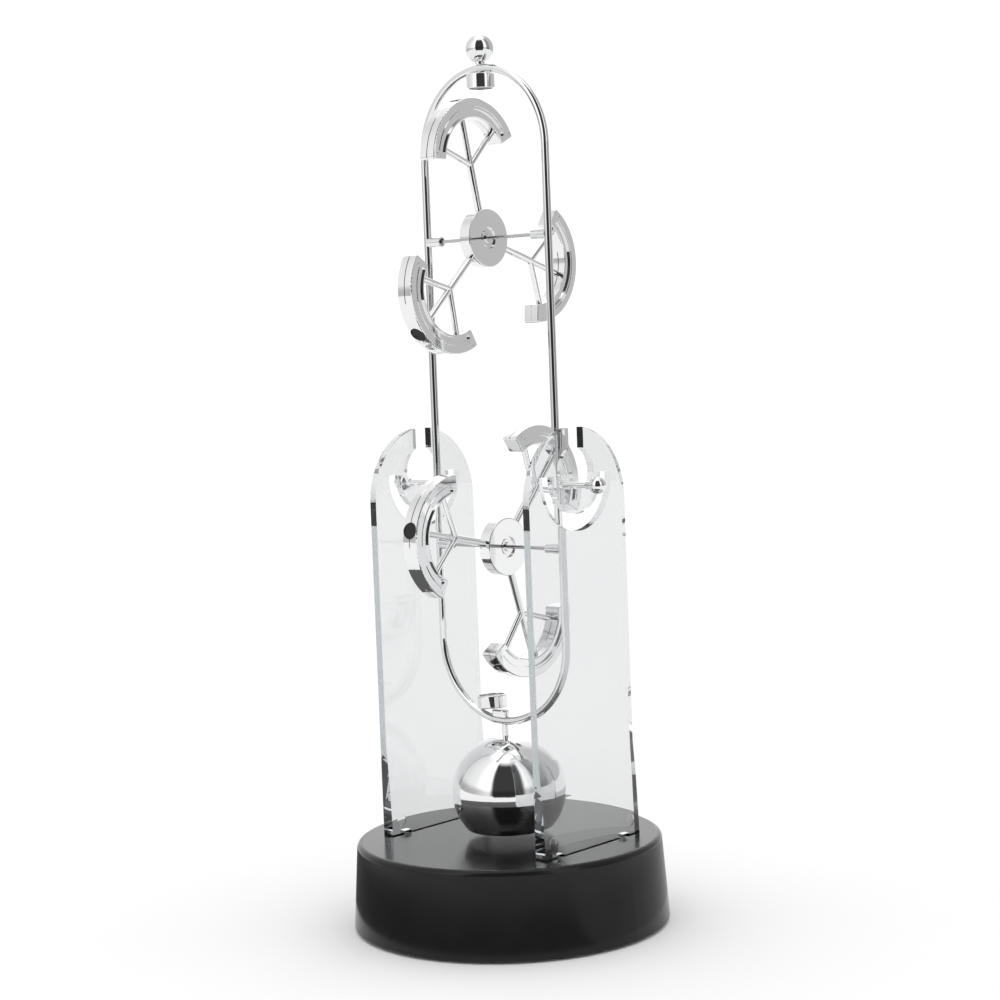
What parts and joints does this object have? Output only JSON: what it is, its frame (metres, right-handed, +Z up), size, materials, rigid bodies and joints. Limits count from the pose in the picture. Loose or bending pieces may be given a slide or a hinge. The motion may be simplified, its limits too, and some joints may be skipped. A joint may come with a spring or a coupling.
{
  "type": "swinging kinetic desk sculpture",
  "caption": "Battery-driven desk toy: a magnet-weighted wire frame swings between clear plates on a round base, carrying spinners with magnets on their arms.",
  "frame": {"origin": "centre of the base at the level of its rubber feet", "axes": "+Z up, +X along the swing axis towards the right-hand clear plate, +Y away from the front"},
  "size_m": [0.1348, 0.1348, 0.3756],
  "materials": {
    "black_plastic": "satin moulded black plastic",
    "inner_plastic": "plain moulded plastic, hidden inside",
    "clear_acrylic": "polished clear acrylic",
    "chrome_wire": "bright chrome plating on steel",
    "plated_plastic": "bright chrome plating on moulded plastic",
    "magnet": "dark nickel plating",
    "steel": "plain zinc-plated steel",
    "copper": "lacquered copper wire",
    "contact_metal": "nickel-plated sprung brass",
    "board": "green circuit board with dark parts",
    "cell": "plain wrapped battery cell",
    "rubber": "soft black rubber"
  },
  "bodies": {
    "base": {"base_shell": "black_plastic", "bottom_cover": "black_plastic", "battery_door": "black_plastic", "door_screw": "steel", "battery_tray": "inner_plastic", "battery_cell_1": "cell", "battery_cell_2": "cell", "battery_cell_3": "cell", "battery_cell_4": "cell", "contact_plates": "contact_metal", "contact_springs": "contact_metal", "coil_bobbin": "inner_plastic", "drive_coil": "copper", "coil_screws": "steel", "circuit_board": "board", "rubber_feet": "rubber", "cover_screws": "steel", "plate_left": "clear_acrylic", "plate_right": "clear_acrylic", "plate_clamp_left": "inner_plastic", "plate_clamp_right": "inner_plastic", "clamp_screws": "steel"},
    "swing_frame": {"frame_loop": "chrome_wire", "pivot_stub_left": "chrome_wire", "pivot_stub_right": "chrome_wire", "pivot_ball_left": "chrome_wire", "pivot_ball_right": "chrome_wire", "top_ball": "chrome_wire", "top_stud": "chrome_wire", "top_cap": "chrome_wire", "top_magnet": "magnet", "bottom_lug": "chrome_wire", "bottom_cap": "chrome_wire", "bottom_magnet": "magnet", "bob_stem": "chrome_wire", "bob_upper_shell": "plated_plastic", "bob_lower_shell": "plated_plastic", "bob_weight": "steel", "bob_magnet": "magnet", "upper_sleeve_left": "chrome_wire", "upper_sleeve_right": "chrome_wire", "lower_sleeve_left": "chrome_wire", "lower_sleeve_right": "chrome_wire"},
    "upper_spinner": {"upper_spinner_front": "plated_plastic", "upper_spinner_back": "plated_plastic", "upper_magnet_1": "magnet", "upper_magnet_2": "magnet", "upper_magnet_3": "magnet", "upper_rivets": "steel", "upper_axle_pin": "steel", "upper_hub_collars": "chrome_wire"},
    "lower_spinner": {"lower_spinner_front": "plated_plastic", "lower_spinner_back": "plated_plastic", "lower_magnet_1": "magnet", "lower_magnet_2": "magnet", "lower_magnet_3": "magnet", "lower_rivets": "steel", "lower_axle_pin": "steel", "lower_hub_collars": "chrome_wire"}
  },
  "joints": [
    {"name": "frame_swing", "type": "hinge", "parent": "base", "child": "swing_frame", "pos_m": [0, 0, 0.1875], "axis": [1, 0, 0], "range_deg": [-150, 150]},
    {"name": "upper_spin", "type": "hinge", "parent": "swing_frame", "child": "upper_spinner", "pos_m": [-0.0016, 0, 0.2908], "axis": [1, 0, 0], "continuous": true},
    {"name": "lower_spin", "type": "hinge", "parent": "swing_frame", "child": "lower_spinner", "pos_m": [0.0029, 0, 0.1609], "axis": [1, 0, 0], "continuous": true}
  ]
}
